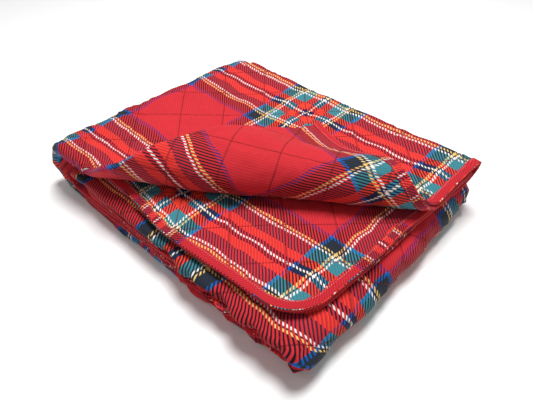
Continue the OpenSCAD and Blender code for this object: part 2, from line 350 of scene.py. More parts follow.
def cloth_uv(run, along, across):
    """Where a point is on the woven cloth: across the warp, along the warp."""
    along, across = np.broadcast_arrays(along, across)
    y, _, part, into = ribbon(across, 0.0)
    back = BACK_Y - CLOTH_Y
    turn = math.pi - into / BIG_FOLD
    plain = np.select(
        [part == 0, part == 1],
        [back + BIG_FOLD_CLOTH * math.pi + (BACK_Y - y),
         back + BIG_FOLD_CLOTH * turn + 4.0 * np.sin(2 * turn)],
        back - (across - BREAKS[2]))
    gained = plain + np.select([part == 2, (part == 3) | (part == 4)],
                               [FRONT_GAIN * np.clip((-20 - y) / 169.0, 0, 1), FRONT_GAIN], 0)

    stretched = STRETCH_Y - CLOTH_Y + (y - STRETCH_Y) * STRETCH
    front = STRETCH_Y - CLOTH_Y + (FRONT_Y - STRETCH_Y) * STRETCH
    top = np.select(
        [(part == 2) & (y < STRETCH_Y), part == 3, part == 4, part == 5, part == 6],
        [stretched, front + (ROLL_CLOTH_Y - 7 - front) * into / (BREAKS[4] - BREAKS[3]),
         ROLL_CLOTH_Y - (y + 196), ROLL_CLOTH_Y - (BACK_Y + 196) - 1.4 * into, y + 131],
        plain)
    if run == "top":
        return along + CLOTH_X + np.where(part == 6, 4.0, 0.0), top

    left_x = LEFT_X + CLOTH_X
    if run == "left":
        share = along / math.pi
        return (left_x - (LEFT_FOLD_CLOTH * along + 5.5 * np.sin(2 * along)),
                top * (1 - share) + plain * share)

    base_x = left_x - LEFT_FOLD_CLOTH * math.pi
    base_scale = (843 + base_x) / (RIGHT_X - 10.6 - LEFT_X)
    if run == "base":
        share = (along - LEFT_X) / (RIGHT_X - LEFT_X)
        return base_x - (along - LEFT_X) * base_scale, plain - SKEW * share

    right_x = base_x - (RIGHT_X - LEFT_X) * base_scale
    if run == "right":
        share = smooth(1 - along / math.pi)
        return (right_x - RIGHT_FOLD_CLOTH * (math.pi - along),
                plain * (1 - share) + gained * share - SKEW)
    return right_x - RIGHT_FOLD_CLOTH * math.pi - (RIGHT_X - along), gained - SKEW


# ------------------------------------------------------------------ quilted relief
SAMPLE_CELLS = 80  # across the simulated sample, which is four diamonds wide


def grid_faces(rows, columns):
    i, j = np.meshgrid(np.arange(rows - 1), np.arange(columns - 1), indexing="ij")
    corner = i * columns + j
    corners = [corner, corner + columns, corner + columns + 1, corner + 1]
    return np.stack(corners, -1).reshape(-1, 4)


def simulate_quilting():
    """Cloth simulation of sixteen quilted diamonds of face cloth. The cloth is
    held only at its stitches, is a little larger than its frame, and the
    padding presses it out. Gives its height as a share of the crown."""
    count = SAMPLE_CELLS + 1
    spacing = QUILT / 1000
    line = np.linspace(0, 4 * QUILT / 1000.0, count)
    x, y = np.meshgrid(line, line, indexing="ij")
    draws = np.random.default_rng(11)
    start = np.abs(np.sin(math.pi * x / spacing)) * np.abs(np.sin(math.pi * y / spacing))
    z = 0.0016 * start + draws.normal(0, 0.00035, x.shape)
    mesh = bpy.data.meshes.new("quilt_sample")
    points = np.stack([x, y, z], -1).reshape(-1, 3)
    mesh.from_pydata(points.tolist(), [], grid_faces(count, count).tolist())
    sample = bpy.data.objects.new("quilt_sample", mesh)
    scene = bpy.context.scene
    scene.collection.objects.link(sample)

    i, j = np.meshgrid(np.arange(count), np.arange(count), indexing="ij")
    diamond = SAMPLE_CELLS // 4
    seam = ((i % diamond == 0) & (j % 2 == 0)) | ((j % diamond == 0) & (i % 2 == 0))
    group = sample.vertex_groups.new(name="stitches")
    group.add([int(vertex) for vertex in np.where(seam.ravel())[0]], 1.0, "REPLACE")

    cloth = sample.modifiers.new("cloth", "CLOTH")
    settings = cloth.settings
    settings.quality = 5
    settings.mass = 0.12
    settings.tension_stiffness = settings.compression_stiffness = 12
    settings.shear_stiffness = 4
    settings.bending_stiffness = 0.08
    settings.vertex_group_mass = "stitches"
    settings.use_pressure = True
    settings.uniform_pressure_force = 4.0
    settings.effector_weights.gravity = 0.0
    settings.shrink_min = -0.035  # negative: the cloth grows
    cloth.point_cache.frame_start, cloth.point_cache.frame_end = 1, 24
    for number in range(1, 25):
        scene.frame_set(number)

    settled = sample.evaluated_get(bpy.context.evaluated_depsgraph_get())
    flat = np.zeros(len(settled.data.vertices) * 3)
    settled.data.vertices.foreach_get("co", flat)
    height = flat.reshape(count, count, 3)[..., 2] * 1000
    bpy.data.objects.remove(sample)
    bpy.data.meshes.remove(mesh)
    scene.frame_set(1)
    height = np.clip(height, -2.0, 12.0)
    # opposite borders agree, so the sample tiles
    height[-1] = height[0]
    height[:, -1] = height[:, 0]
    return height / np.percentile(height, 95)


CROWN_MAP = simulate_quilting()


def diagonals(x, y):
    return (x + y) / math.sqrt(2), (x - y) / math.sqrt(2)


def puff(cloth_x, cloth_y):
    """Crown of the quilting, 0 at the stitches and about 1 between them."""
    first, second = diagonals(cloth_x, cloth_y)
    if CROWN_MAP is None:
        return (np.abs(np.sin(math.pi * first / QUILT)) ** 0.55
                * np.abs(np.sin(math.pi * second / QUILT)) ** 0.55)
    first = (first / QUILT * (SAMPLE_CELLS / 4)) % SAMPLE_CELLS
    second = (second / QUILT * (SAMPLE_CELLS / 4)) % SAMPLE_CELLS
    i = np.floor(first).astype(int) % SAMPLE_CELLS
    j = np.floor(second).astype(int) % SAMPLE_CELLS
    part_i, part_j = first - np.floor(first), second - np.floor(second)
    near = CROWN_MAP[i, j] * (1 - part_i) + CROWN_MAP[i + 1, j] * part_i
    far = CROWN_MAP[i, j + 1] * (1 - part_i) + CROWN_MAP[i + 1, j + 1] * part_i
    return near * (1 - part_j) + far * part_j


def rumple(x, y):
    """Small soft creases that run between the quilting lines."""
    a, b = diagonals(x, y)
    fine = 0.34 * np.sin(a / 5.1 + 1.7 * np.sin(b / 21)) * np.sin(b / 33 + 0.6 * np.sin(a / 27))
    crossing = 0.30 * np.sin(b / 6.3 + 1.5 * np.sin(a / 24 + 1)) * np.sin(a / 37 + 0.8)
    broad = 0.45 * np.sin(x / 23 + 1.3 * np.sin(y / 31)) * np.sin(y / 27 + 1.1 * np.sin(x / 41))
    return fine + crossing + broad


def pucker(cloth_x, cloth_y):
    """Gathers that run a little way out from each line of stitching."""
    first, second = diagonals(cloth_x, cloth_y)
    total = 0
    for over, seam, phase in ((first, second, 0.7), (second, first, 2.1)):
        gap = np.abs((over / QUILT + 0.5) % 1 - 0.5) * QUILT
        gathers = (seam / 15.0 + 0.8 * np.sin(seam / 41.0 + phase)
                   + 0.5 * np.sin(seam / 17.0 + 2 * phase) + 0.25 * np.sin(gap / 6 + seam / 23))
        fade = np.exp(-(gap / 15.0) ** 2) * (1 - np.exp(-(gap / 3.0) ** 2))
        strength = 0.7 + 0.5 * np.sin(seam / 53 + phase)
        total = total + fade * np.sin(2 * math.pi * gathers) * strength
    return total


def end_distance(run, along):
    """Distance to the bound end, without limit in runs that have none."""
    if run in BOUND_RUNS:
        return np.abs(BOUND_RUNS[run][1] - along)
    return np.full(np.shape(along), np.inf)


def face_height(run, along, across):
    """Height of the face cloth above the middle of its layer."""
    y, _, part, _ = ribbon(across, 0.0)
    if run == "top":
        past = roll_coords(along, y)[1]
        crown = np.select(
            [part == 1, part == 2, part == 3, part == 4, part == 6],
            [1.4, 2.3, 1.5, 0.5 + 1.6 * smooth((past + 20) / 60),
             0.5 + 2.1 * smooth((past + 10) / 50)], 0.5)
    else:
        crown = np.select([part == 2, (part == 1) | (part == 3)],
                          [0.7 if run == "base" else 1.8, 1.8], 0.5)
    # the layer thins towards its binding
    full = (smooth((end_distance(run, along) - TAPE + 4) / 22)
            * smooth((np.minimum(across, GIRTH - across) - TAPE + 4) / 22))
    where = cloth_uv(run, along, across)
    relief = crown * (puff(*where) - 0.5)
    relief = relief + np.minimum(crown, 1.6) * (0.5 * rumple(*where) + 0.75 * pucker(*where))
    height = HALF_LAYER + full * relief - 0.5 * (1 - full)
    return np.maximum(height, 1.5 + 0.12 * (height - 1.5))


def backing_height(run, along, across):
    """Upper side of the backing cloth."""
    return -HALF_LAYER + 0.5 - 0.35 * (puff(*cloth_uv(run, along, across)) - 0.6)


def backing_underside(run, along, across):
    return backing_height(run, along, across) - 0.5


# Heights of the two sides of each cloth, the one nearer the face first.
def face_sides(*where):
    height = face_height(*where)
    return height, height - 0.5


def wadding_sides(*where):
    return np.minimum(0.3 * face_height(*where), 0.8), -0.9


def backing_sides(*where):
    return backing_height(*where), backing_underside(*where)


# ------------------------------------------------------------------ making pieces
def fasten(piece, body):
    """Rides a body; the roll and back crease pieces keep their place baked into the mesh and
    ride no body.
    """
    if body == "corner_roll":
        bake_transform(piece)
    elif body == "back_crease":
        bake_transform(piece)
    else:
        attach(piece, body)


def turn_outward(mesh):
    work = bmesh.new()
    work.from_mesh(mesh)
    if work.calc_volume(signed=True) < 0:
        bmesh.ops.reverse_faces(work, faces=work.faces[:])
        work.to_mesh(mesh)
    work.free()


def add_piece(body, part, points, faces, uv, material, suffix="", replaces=True):
    """Makes one object of a body from points and cloth places in millimetres."""
    name = f"{body}_{part}{suffix}_v"
    mesh = bpy.data.meshes.new(name)
    points = np.array(points, float)
    z = points[:, 2]
    # the floor presses the lowest 6 mm into 4
    points[:, 2] = np.where(z < 4.0, (z + 2.0) * 4.0 / 6.0, z)
    mesh.from_pydata((points / 1000.0).tolist(), [], faces)
    layer = mesh.uv_layers.new(name="cloth")
    vertex = np.zeros(len(mesh.loops), np.int32)
    mesh.loops.foreach_get("vertex_index", vertex)
    layer.data.foreach_set("uv", (uv[vertex] / 1000.0).astype(np.float32).ravel())
    mesh.validate()
    mesh.update()
    mesh.polygons.foreach_set("use_smooth", np.ones(len(mesh.polygons), bool))
    mesh.set_sharp_from_angle(angle=math.radians(62))
    piece = bpy.data.objects.new(name, mesh)
    bpy.context.scene.collection.objects.link(piece)
    mesh.materials.append(material)
    turn_outward(mesh)
    if replaces:
        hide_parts(f"{body}_{part}")
    fasten(piece, body)


def add_sheet(body, part, outer, inner, uv, faces, material, suffix=""):
    """A closed thin piece between a sheet of points and its twin."""
    outer, inner, uv = outer.reshape(-1, 3), inner.reshape(-1, 3), uv.reshape(-1, 2)
    count = len(outer)
    edges = {edge: None for face in faces for edge in zip(face, face[1:] + face[:1])}
    walls = [[b, a, a + count, b + count] for a, b in edges if (b, a) not in edges]
    twins = [[i + count for i in reversed(face)] for face in faces]
    add_piece(body, part, np.concatenate([outer, inner]), faces + twins + walls,
              np.concatenate([uv, uv]), material, suffix)


def cut_by_body(points, faces):
    """Cuts a sheet of the top third along both edges of the roll. Points are
    (along, across). Gives each body with its points and faces."""
    work = bmesh.new()
    leaf = leaf_distance(points[:, 0], points[:, 1])
    corners = [work.verts.new((float(along), float(across), float(distance)))
               for (along, across), distance in zip(points, leaf)]
    for face in faces:
        work.faces.new([corners[i] for i in face])
    for cut in ROLL_CUTS:
        bmesh.ops.bisect_plane(work, geom=work.verts[:] + work.edges[:] + work.faces[:],
                               dist=1e-4, plane_co=(0, 0, cut), plane_no=(0, 0, 1))
    work.verts.index_update()
    flat = np.array([vertex.co[:] for vertex in work.verts])
    pieces = [[vertex.index for vertex in face.verts] for face in work.faces]
    work.free()
    homes = np.digitize([flat[face, 2].mean() for face in pieces], ROLL_CUTS)
    for index, body in enumerate(TOP_BODIES):
        kept = [face for face, home in zip(pieces, homes) if home == index]
        used = sorted({i for face in kept for i in face})
        renumbered = {old: new for new, old in enumerate(used)}
        yield body, flat[used, :2], [[renumbered[i] for i in face] for face in kept]


# ------------------------------------------------------------------ stations and rows
BORDER_ROWS = [0.4, 1.2, 2.4, 4, 6, 8.5, 11.5, 15]  # keep the rounded corners smooth


def stations(start, end, step, fine_start=0, fine_end=0, fine=FACE_STEP):
    """Places from start to end, closer together over a length at each end."""
    places = [start]
    way = 1 if end > start else -1
    length = abs(end - start)
    gone = 0.0
    while gone < length - 1e-6:
        now = fine if (gone < fine_start or length - gone < fine_end) else step
        gone = min(length, gone + now)
        if length - gone < 0.4 * now:
            gone = length
        places.append(start + way * gone)
    return np.array(places)


def ribbon_rows(steps, edge, fine):
    """Rows across the ribbon, with one step for each of the four layers."""
    rows = [0.0]
    for part, (start, end) in enumerate(zip(BREAKS, BREAKS[1:])):
        if part % 2:
            count = 12 if part == 1 else 8
            rows += list(start + (end - start) * np.arange(1, count + 1) / count)
        else:
            step = steps[part // 2]
            rows += list(stations(start, end, step, edge, edge, min(fine, step))[1:])
    rows += BORDER_ROWS + [GIRTH - row for row in BORDER_ROWS]
    rows = np.unique(np.round(rows, 4))
    kept = [rows[0]]
    for row in rows[1:]:
        if row - kept[-1] > 0.35:
            kept.append(row)
    kept[-1] = rows[-1]
    return np.array(kept)


def corner_cut(across):
    """How far the bound end is cut back by the rounded corner."""
    gap = np.clip(np.minimum(across, GIRTH - across), 0, CORNER_R)
    return CORNER_R - np.sqrt(np.maximum(CORNER_R ** 2 - (CORNER_R - gap) ** 2, 0))


def column_grid(run, places, rows):
    """Along for every row and column, drawn in at rounded bound corners."""
    grid = np.repeat(places[None, :], len(rows), 0)
    if run in BOUND_RUNS:
        start, end = BOUND_RUNS[run]
        share = (places - start) / (end - start)
        way = 1 if end > start else -1
        grid = grid - way * corner_cut(rows)[:, None] * share[None, :] ** 2
    return grid


# ------------------------------------------------------------------ materials
class Shader:
    """Builds the node tree of one material."""

    def __init__(self, name):
        self.material = bpy.data.materials.new(name)
        self.material.use_nodes = True
        self.tree = self.material.node_tree
        self.tree.nodes.clear()

    def node(self, kind, inputs=None, **settings):
        """Adds a node. Its inputs take a socket to link or a plain value."""
        node = self.tree.nodes.new(kind)
        for key, value in settings.items():
            setattr(node, key, value)
        for key, value in (inputs or {}).items():
            if hasattr(value, "is_linked"):
                self.tree.links.new(value, node.inputs[key])
            else:
                node.inputs[key].default_value = value
        return node

    def math(self, operation, *values, clamp=False):
        return self.node("ShaderNodeMath", dict(enumerate(values)), operation=operation,
                         use_clamp=clamp).outputs[0]

    def vector(self, operation, inputs):
        return self.node("ShaderNodeVectorMath", inputs, operation=operation).outputs[0]

    def mix(self, share, first, second, blend="MIX"):
        return self.node("ShaderNodeMix", {0: share, 6: first, 7: second},
                         data_type="RGBA", blend_type=blend).outputs[2]

    def shade(self, colour, value):
        inputs = {"Value": value, "Color": colour}
        return self.node("ShaderNodeHueSaturation", inputs).outputs[0]

    def noise(self, vector, **inputs):
        return self.node("ShaderNodeTexNoise", {"Vector": vector, **inputs})

    def cloth(self):
        return self.node("ShaderNodeUVMap", uv_map="cloth").outputs[0]

    def split(self, vector):
        return self.node("ShaderNodeSeparateXYZ", {0: vector}).outputs[:2]

    def finish(self, surface, relief=None, strength=0, distance=0):
        """Adds the surface, with relief of a depth in metres, and the output."""
        if relief is not None:
            bump = self.node("ShaderNodeBump", {"Strength": strength, "Distance": distance,
                                                "Height": relief})
            surface["Normal"] = bump.outputs[0]
        principled = self.node("ShaderNodeBsdfPrincipled", surface)
        self.node("ShaderNodeOutputMaterial", {0: principled.outputs[0]})
        return self.material


def srgb(*channels):
    """Linear colour with alpha, from 0-255 display values."""
    shares = [channel / 255.0 for channel in channels]
    return tuple([share / 12.92 if share <= 0.04045 else ((share + 0.055) / 1.055) ** 2.4
                  for share in shares] + [1.0])


RED, BRIGHT = srgb(204, 40, 50), srgb(234, 62, 44)
BLUE, SLATE, NAVY = srgb(0, 92, 176), srgb(30, 40, 52), srgb(10, 28, 84)
TEAL, YELLOW, WHITE = srgb(58, 130, 142), srgb(238, 198, 116), srgb(240, 236, 230)
# the same yarns where they float over red, darkened with painted shade between the twill ribs
BLUE_SHADED, SLATE_SHADED = srgb(44, 38, 108), srgb(14, 12, 22)
NAVY_SHADED, TEAL_SHADED = srgb(8, 10, 36), srgb(48, 32, 50)
GROUND, STRIPE = (1, 1, 1, 1), (0, 0, 0, 1)

# Half a repeat of the tartan: distance from the middle of a stripe group where each yarn
# starts, its colour, its colour over the ground darkened with painted shade between the ribs,
# and whether it is ground.
SETT = [
    (0.0, WHITE, WHITE, GROUND),
    (1.8, NAVY, NAVY_SHADED, STRIPE),
    (8.6, BRIGHT, BRIGHT, GROUND),
    (22.7, TEAL, TEAL_SHADED, STRIPE),
    (41.6, WHITE, WHITE, STRIPE),
    (45.1, SLATE, SLATE_SHADED, STRIPE),
    (47.6, YELLOW, YELLOW, STRIPE),
    (51.2, SLATE, SLATE_SHADED, STRIPE),
    (70.2, BLUE, BLUE_SHADED, STRIPE),
    (75.9, RED, RED, GROUND),
]
PURE, SHADED_OVER_GROUND, IS_GROUND = 1, 2, 3  # columns of the table
SETT_BLUR = 0.3                         # half the blur between two yarns
TAPE_PERIOD = 400.0                     # tape between two stripe groups


def sett(shader, distance, column):
    """One column of the sett as a colour ramp."""
    half = REPEAT / 2
    stops = [(0.0, SETT[0][column])]
    for before, after in zip(SETT, SETT[1:]):
        if before[column] != after[column]:
            stops.append(((after[0] - SETT_BLUR) / half, before[column]))
            stops.append(((after[0] + SETT_BLUR) / half, after[column]))
    node = shader.node("ShaderNodeValToRGB", {0: distance})
    ramp = node.color_ramp
    ramp.interpolation = "LINEAR"
    for element, (position, colour) in zip(ramp.elements, (stops[0], stops[-1])):
        element.position, element.color = position, colour
    for position, colour in stops[1:-1]:
        ramp.elements.new(position).color = colour
    return node.outputs[0]


def group_distance(shader, coordinate, period=REPEAT, squeeze=1.0):
    """0 at the middle of a stripe group, 1 half a repeat away."""
    folded = shader.math("PINGPONG", coordinate, period / 2000.0)
    return shader.math("DIVIDE", folded, REPEAT / 2000.0 / squeeze)


def wavy_coords(shader, cloth, wobble):
    """Cloth coordinates pushed about by a broad and a finer noise."""
    moved = cloth
    for scale, amount in ((19.0, wobble * 4), (48.0, wobble * 1.2)):
        noise = shader.noise(cloth, Scale=scale, Detail=1.0).outputs["Color"]
        centred = shader.vector("SUBTRACT", {0: noise, 1: (0.5, 0.5, 0.5)})
        scaled = shader.vector("SCALE", {0: centred, "Scale": amount})
        moved = shader.vector("ADD", {0: moved, 1: scaled})
    return shader.split(moved)


def bias_yarns(shader, x, y):
    """Tape is cut on the bias: its ribs slant and a stripe group passes now and
    then. Gives warp, weft, the warp's share of the rib and the twill distance."""
    shifted = shader.math("ADD", x, TAPE_PERIOD * 20 / 1000)
    near = group_distance(shader, shifted, TAPE_PERIOD, squeeze=1.35)
    # the tape's yarns take their copies darkened with painted shade between the ribs
    warp_yarn, ground = (sett(shader, near, column) for column in (SHADED_OVER_GROUND, IS_GROUND))
    share = shader.math("MULTIPLY_ADD", shader.math("SUBTRACT", ground, 1.0), 0.05, 0.25)
    return warp_yarn, srgb(180, 28, 44), share, shader.math("ADD", x, y)


def crossed_yarns(shader, x, y, flat_x, flat_y):
    """Stripes both ways. Gives the same four values as the bias yarns."""
    near_x, near_y = group_distance(shader, x), group_distance(shader, y)
    columns = (PURE, SHADED_OVER_GROUND, IS_GROUND)
    warp_pure, warp_shaded, warp_ground = (sett(shader, near_x, column) for column in columns)
    weft_pure, weft_shaded, weft_ground = (sett(shader, near_y, column) for column in columns)
    # the ribs follow the wavy stripes only in part
    wavy = shader.math("MULTIPLY_ADD", shader.math("ADD", x, y), 0.3, 0.0)
    straight = shader.math("MULTIPLY", shader.math("ADD", flat_x, flat_y), 0.7)
    difference = shader.math("SUBTRACT", warp_ground, weft_ground)
    # over red ground the yarns take their copies darkened with painted shade between the ribs
    return (shader.mix(weft_ground, warp_pure, warp_shaded),
            shader.mix(warp_ground, weft_pure, weft_shaded),
            shader.math("MULTIPLY_ADD", difference, 0.035, 0.25),
            shader.math("ADD", wavy, straight))


def paint_seam_shade(shader, colour, flat_x, flat_y):
    """Painted shade in the creases of the quilted seams, darkest on each line of stitching."""
    for way in (1.0, -1.0):
        diagonal = shader.math("ADD", flat_x, shader.math("MULTIPLY", flat_y, way))
        count = shader.math("DIVIDE", diagonal, math.sqrt(2) * QUILT / 1000)
        phase = shader.math("FRACT", shader.math("ADD", count, 0.5))
        far = shader.math("ABSOLUTE", shader.math("SUBTRACT", phase, 0.5))
        line = shader.math("MULTIPLY_ADD", far, -QUILT / 1.3, 1.25, clamp=True)
        share = shader.math("MULTIPLY", line, 0.55)
        colour = shader.mix(share, colour, (0.25, 0.02, 0.04, 1), "MULTIPLY")
    return colour


def tartan(name, is_tape=False):
    """Twill with the tartan's stripes. Warp and weft floats take turns along the
    twill line, so a stripe over plain red is hatched."""
    shader = Shader(name)
    cloth = shader.cloth()
    x, y = wavy_coords(shader, cloth, wobble=0.0006 if is_tape else 0.0031)
    if is_tape:
        warp_yarn, weft_yarn, share, distance = bias_yarns(shader, x, y)
    else:
        flat_x, flat_y = shader.split(cloth)
        warp_yarn, weft_yarn, share, distance = crossed_yarns(shader, x, y, flat_x, flat_y)
    pitch = (0.0030 if is_tape else 0.0037) * math.sqrt(2)
    phase = shader.math("FRACT", shader.math("DIVIDE", distance, pitch))
    ridge = shader.math("ABSOLUTE", shader.math("SUBTRACT", phase, 0.5))
    mask = shader.math("MULTIPLY_ADD", shader.math("SUBTRACT", ridge, share), 12.0, 0.5,
                       clamp=True)
    colour = shader.mix(mask, warp_yarn, weft_yarn)
    # painted shade in the groove on one side of each rib
    edge = shader.math("ABSOLUTE", shader.math("SUBTRACT", ridge, 0.25))
    groove_shade = shader.math("MULTIPLY_ADD", edge, -9.0, 1.0, clamp=True)
    groove_shade = shader.math("MULTIPLY", groove_shade, shader.math("LESS_THAN", phase, 0.5))
    depth = shader.math("MULTIPLY", groove_shade, 0.62)
    colour = shader.mix(depth, colour, (0.20, 0.03, 0.05, 1), "MULTIPLY")
    if not is_tape:
        # painted shade along the quilted seams
        colour = paint_seam_shade(shader, colour, flat_x, flat_y)

    # uneven dye, slight fading and fibre
    dye = shader.noise(cloth, Scale=9.0, Detail=3.0, Roughness=0.6).outputs[0]
    colour = shader.shade(colour, shader.math("MULTIPLY_ADD", dye, 0.36, 0.82))
    fibre = shader.noise(cloth, Scale=1400.0, Detail=2.0).outputs[0]
    colour = shader.shade(colour, shader.math("MULTIPLY_ADD", fibre, 0.5, 0.75))

    # weave relief: ribs of the twill, single yarns, slack
    ribs = shader.math("COSINE", shader.math("MULTIPLY", phase, 4 * math.pi))
    ribs = shader.math("MULTIPLY_ADD", ribs, 0.5, 0.5)
    yarn_x, yarn_y = (
        shader.math("SINE", shader.math("MULTIPLY", axis, 2 * math.pi / 0.00125))
        for axis in (x, y))
    yarns = shader.math("MULTIPLY", shader.math("MULTIPLY", yarn_x, yarn_y), 0.05)
    relief = shader.math("ADD", shader.math("MULTIPLY", ribs, 0.12), yarns)
    slack = shader.noise(cloth, Scale=60.0, Detail=3.0).outputs[0]
    relief = shader.math("ADD", relief, shader.math("MULTIPLY", slack, 1.3))
    return shader.finish({
        "Base Color": colour,
        "Specular IOR Level": 0.2,
        "Sheen Weight": 0.08,
        "Sheen Roughness": 0.45,
        "Sheen Tint": (1.0, 0.86, 0.84, 1),
        "Roughness": shader.math("MULTIPLY_ADD", fibre, 0.16, 0.74),
    }, relief, strength=0.6, distance=0.0013)


def plain_cloth(name, dark, light, period, roughness, slanted=False, sheen=0.1, relief_mm=0.4):
    """A woven or felted cloth, or twisted thread, without a pattern."""
    shader = Shader(name)
    cloth = shader.cloth()
    x, y = shader.split(cloth)

    def yarns(axis):
        return shader.math("SINE", shader.math("MULTIPLY", axis, 2 * math.pi / period))

    if slanted:
        weave = yarns(shader.math("ADD", x, y))
    else:
        weave = shader.math("MULTIPLY", yarns(x), yarns(y))
    noise = shader.noise(cloth, Scale=120.0, Detail=4.0).outputs[0]
    share = shader.math("ADD", shader.math("MULTIPLY_ADD", weave, 0.3, 0.2),
                        shader.math("MULTIPLY", noise, 0.6), clamp=True)
    relief = shader.math("ADD", weave, shader.math("MULTIPLY", noise, 2.0))
    return shader.finish({
        "Base Color": shader.mix(share, dark, light),
        "Roughness": shader.math("MULTIPLY_ADD", noise, 0.2, roughness - 0.1),
        "Sheen Weight": sheen,
        "Specular IOR Level": 0.2,
    }, relief, strength=0.5, distance=relief_mm / 1000)


FACE = tartan("tartan_twill_face")
BACKING = plain_cloth("brushed_red_backing", srgb(150, 26, 38), srgb(190, 44, 54),
                      period=0.0016, roughness=0.85)
WADDING = plain_cloth("polyester_wadding", srgb(226, 222, 214), srgb(246, 244, 240),
                      period=0.006, roughness=0.9, sheen=0.3, relief_mm=1.5)
BINDING = tartan("tartan_twill_binding", is_tape=True)
QUILT_THREAD = plain_cloth("red_quilting_thread", srgb(120, 14, 26), srgb(160, 26, 36),
                           period=0.0009, roughness=0.6, slanted=True)
TAPE_THREAD = plain_cloth("binding_topstitch_thread", srgb(206, 150, 140),
                          srgb(226, 180, 168), period=0.0009, roughness=0.6, slanted=True)


# ------------------------------------------------------------------ cloths
def cloth_points(run, along, across, sides):
    """Both sides of a cloth and its cloth coordinates."""
    outer, inner = sides(run, along, across)
    return (place(run, along, across, outer), place(run, along, across, inner),
            np.stack(cloth_uv(run, along, across), -1))


def add_cloth(body, part, sides, material, runs, rows):
    """One cloth of one body, over one or more runs."""
    grids = []
    for run, places in runs:
        across = np.repeat(rows[:, None], len(places), 1)
        grids.append(cloth_points(run, column_grid(run, places, rows), across, sides))
    outer, inner, uv = (np.concatenate(grid, 1) for grid in zip(*grids))
    add_sheet(body, part, outer, inner, uv, grid_faces(*outer.shape[:2]).tolist(), material)


def add_top_cloth(part, sides, material, places, rows):
    """One cloth of the top third, cut into its three bodies."""
    along = column_grid("top", places, rows)
    across = np.repeat(rows[:, None], len(places), 1)
    points = np.stack([along.ravel(), across.ravel()], -1)
    for body, cut, faces in cut_by_body(points, grid_faces(*along.shape).tolist()):
        outer, inner, uv = cloth_points("top", cut[:, 0], cut[:, 1], sides)
        add_sheet(body, part, outer, inner, uv, faces, material)


def left_run(count):
    return [("left", np.linspace(0, math.pi, count))]


def lower_runs(step, fold_count, inner_end, fine_left=0, fine_right=0, fine=5):
    """Base, right fold and inner third, joined where they meet."""
    return [
        ("base", stations(LEFT_X, RIGHT_X, step, fine_left, fine_right, fine)),
        ("right", np.linspace(math.pi, 0, fold_count)[1:]),
        ("inner", stations(RIGHT_X, inner_end, step, fine_right, fine_left, fine)[1:]),
    ]


def add_layer(part, sides, material, top, left, lower):
    """One cloth of the whole blanket. Each of the last three is runs and rows."""
    add_top_cloth(part, sides, material, *top)
    add_cloth("back_crease", part, sides, material, *left)
    add_cloth("lower_stack", part, sides, material, *lower)


CORE_ROWS = ribbon_rows([12, 10, 10, 12], edge=30, fine=6)
CORE_LOWER = lower_runs(8, fold_count=11, inner_end=LEFT_X + 6)
add_layer("face_cloth", face_sides, FACE,
          top=(stations(LEFT_X, END_X, FACE_STEP),
               ribbon_rows([9, FACE_STEP, FACE_STEP, FACE_STEP], edge=30, fine=FACE_STEP)),
          left=(left_run(21), ribbon_rows([9, 5, 9, 9], edge=40, fine=4.5)),
          lower=(lower_runs(8, 15, INNER_END_X, fine_left=40, fine_right=20),
                 ribbon_rows([12, 7, 9, 12], edge=45, fine=4.5)))
add_layer("wadding", wadding_sides, WADDING,
          top=(stations(LEFT_X, END_X - 4, 6), CORE_ROWS),
          left=(left_run(15), CORE_ROWS), lower=(CORE_LOWER, CORE_ROWS))
add_layer("backing_cloth", backing_sides, BACKING,
          top=(stations(LEFT_X, END_X - 1, 8), ribbon_rows([10, 8, 8, 10], edge=20, fine=7)),
          left=(left_run(21), CORE_ROWS), lower=(CORE_LOWER, CORE_ROWS))


# ------------------------------------------------------------------ binding
# A path along an edge has rows of along, across and the inward direction in both.
def bound_edge(run):
    """Path round the bound end of a run, with its rounded corners."""
    start, end = BOUND_RUNS[run]
    way = 1 if end > start else -1
    corner = end - way * CORNER_R
    path = [(along, 0.0, 0.0, 1.0) for along in stations(start, corner, 6)]
    for angle in np.linspace(0, math.pi / 2, 17)[1:]:
        sine, cosine = math.sin(angle), math.cos(angle)
        path.append((corner + way * CORNER_R * sine, CORNER_R - CORNER_R * cosine,
                     -way * sine, cosine))
    rows = ribbon_rows([6, 6, 6, 6], edge=0, fine=6)
    straight = (rows > CORNER_R + 1) & (rows < GIRTH - CORNER_R - 1)
    path += [(end, across, -way, 0.0) for across in rows[straight]]
    for angle in np.linspace(math.pi / 2, 0, 17):
        sine, cosine = math.sin(angle), math.cos(angle)
        path.append((corner + way * CORNER_R * sine, GIRTH - CORNER_R + CORNER_R * cosine,
                     -way * sine, -cosine))
    path += [(along, GIRTH, 0.0, -1.0) for along in stations(corner, start, 6)[1:]]
    return np.array(path)


def side_edge(places, across):
    """Path along one long side of the blanket."""
    inward = 1.0 if across == 0 else -1.0
    return np.array([(along, across, 0.0, inward) for along in places])


# Section of the tape from its face side round the edge: depth in from the edge, height.
TAPE_HALF = [
    (TAPE, HALF_LAYER + 0.15), (TAPE - 0.5, HALF_LAYER + 0.55), (10, HALF_LAYER + 0.75),
    (7, HALF_LAYER + 0.35), (4.5, HALF_LAYER + 0.15), (2, HALF_LAYER - 0.1),
    (0.4, HALF_LAYER - 0.9), (-0.3, 0.9), (-0.5, 0.0),
]
TAPE_OUTER = np.array(TAPE_HALF + [(depth, -height) for depth, height in TAPE_HALF[-2::-1]])
TAPE_INNER = np.array([(depth + (0.6 if depth < 5 else 0),
                        height * (HALF_LAYER - 0.6) / HALF_LAYER)
                       for depth, height in TAPE_OUTER])
TAPE_CREST = len(TAPE_HALF) - 1
TAPE_UV_START = 203.0  # shifts the stripe groups along the tape


def running_length(points):
    return np.append(0, np.cumsum(np.linalg.norm(np.diff(points, axis=0), axis=1)))


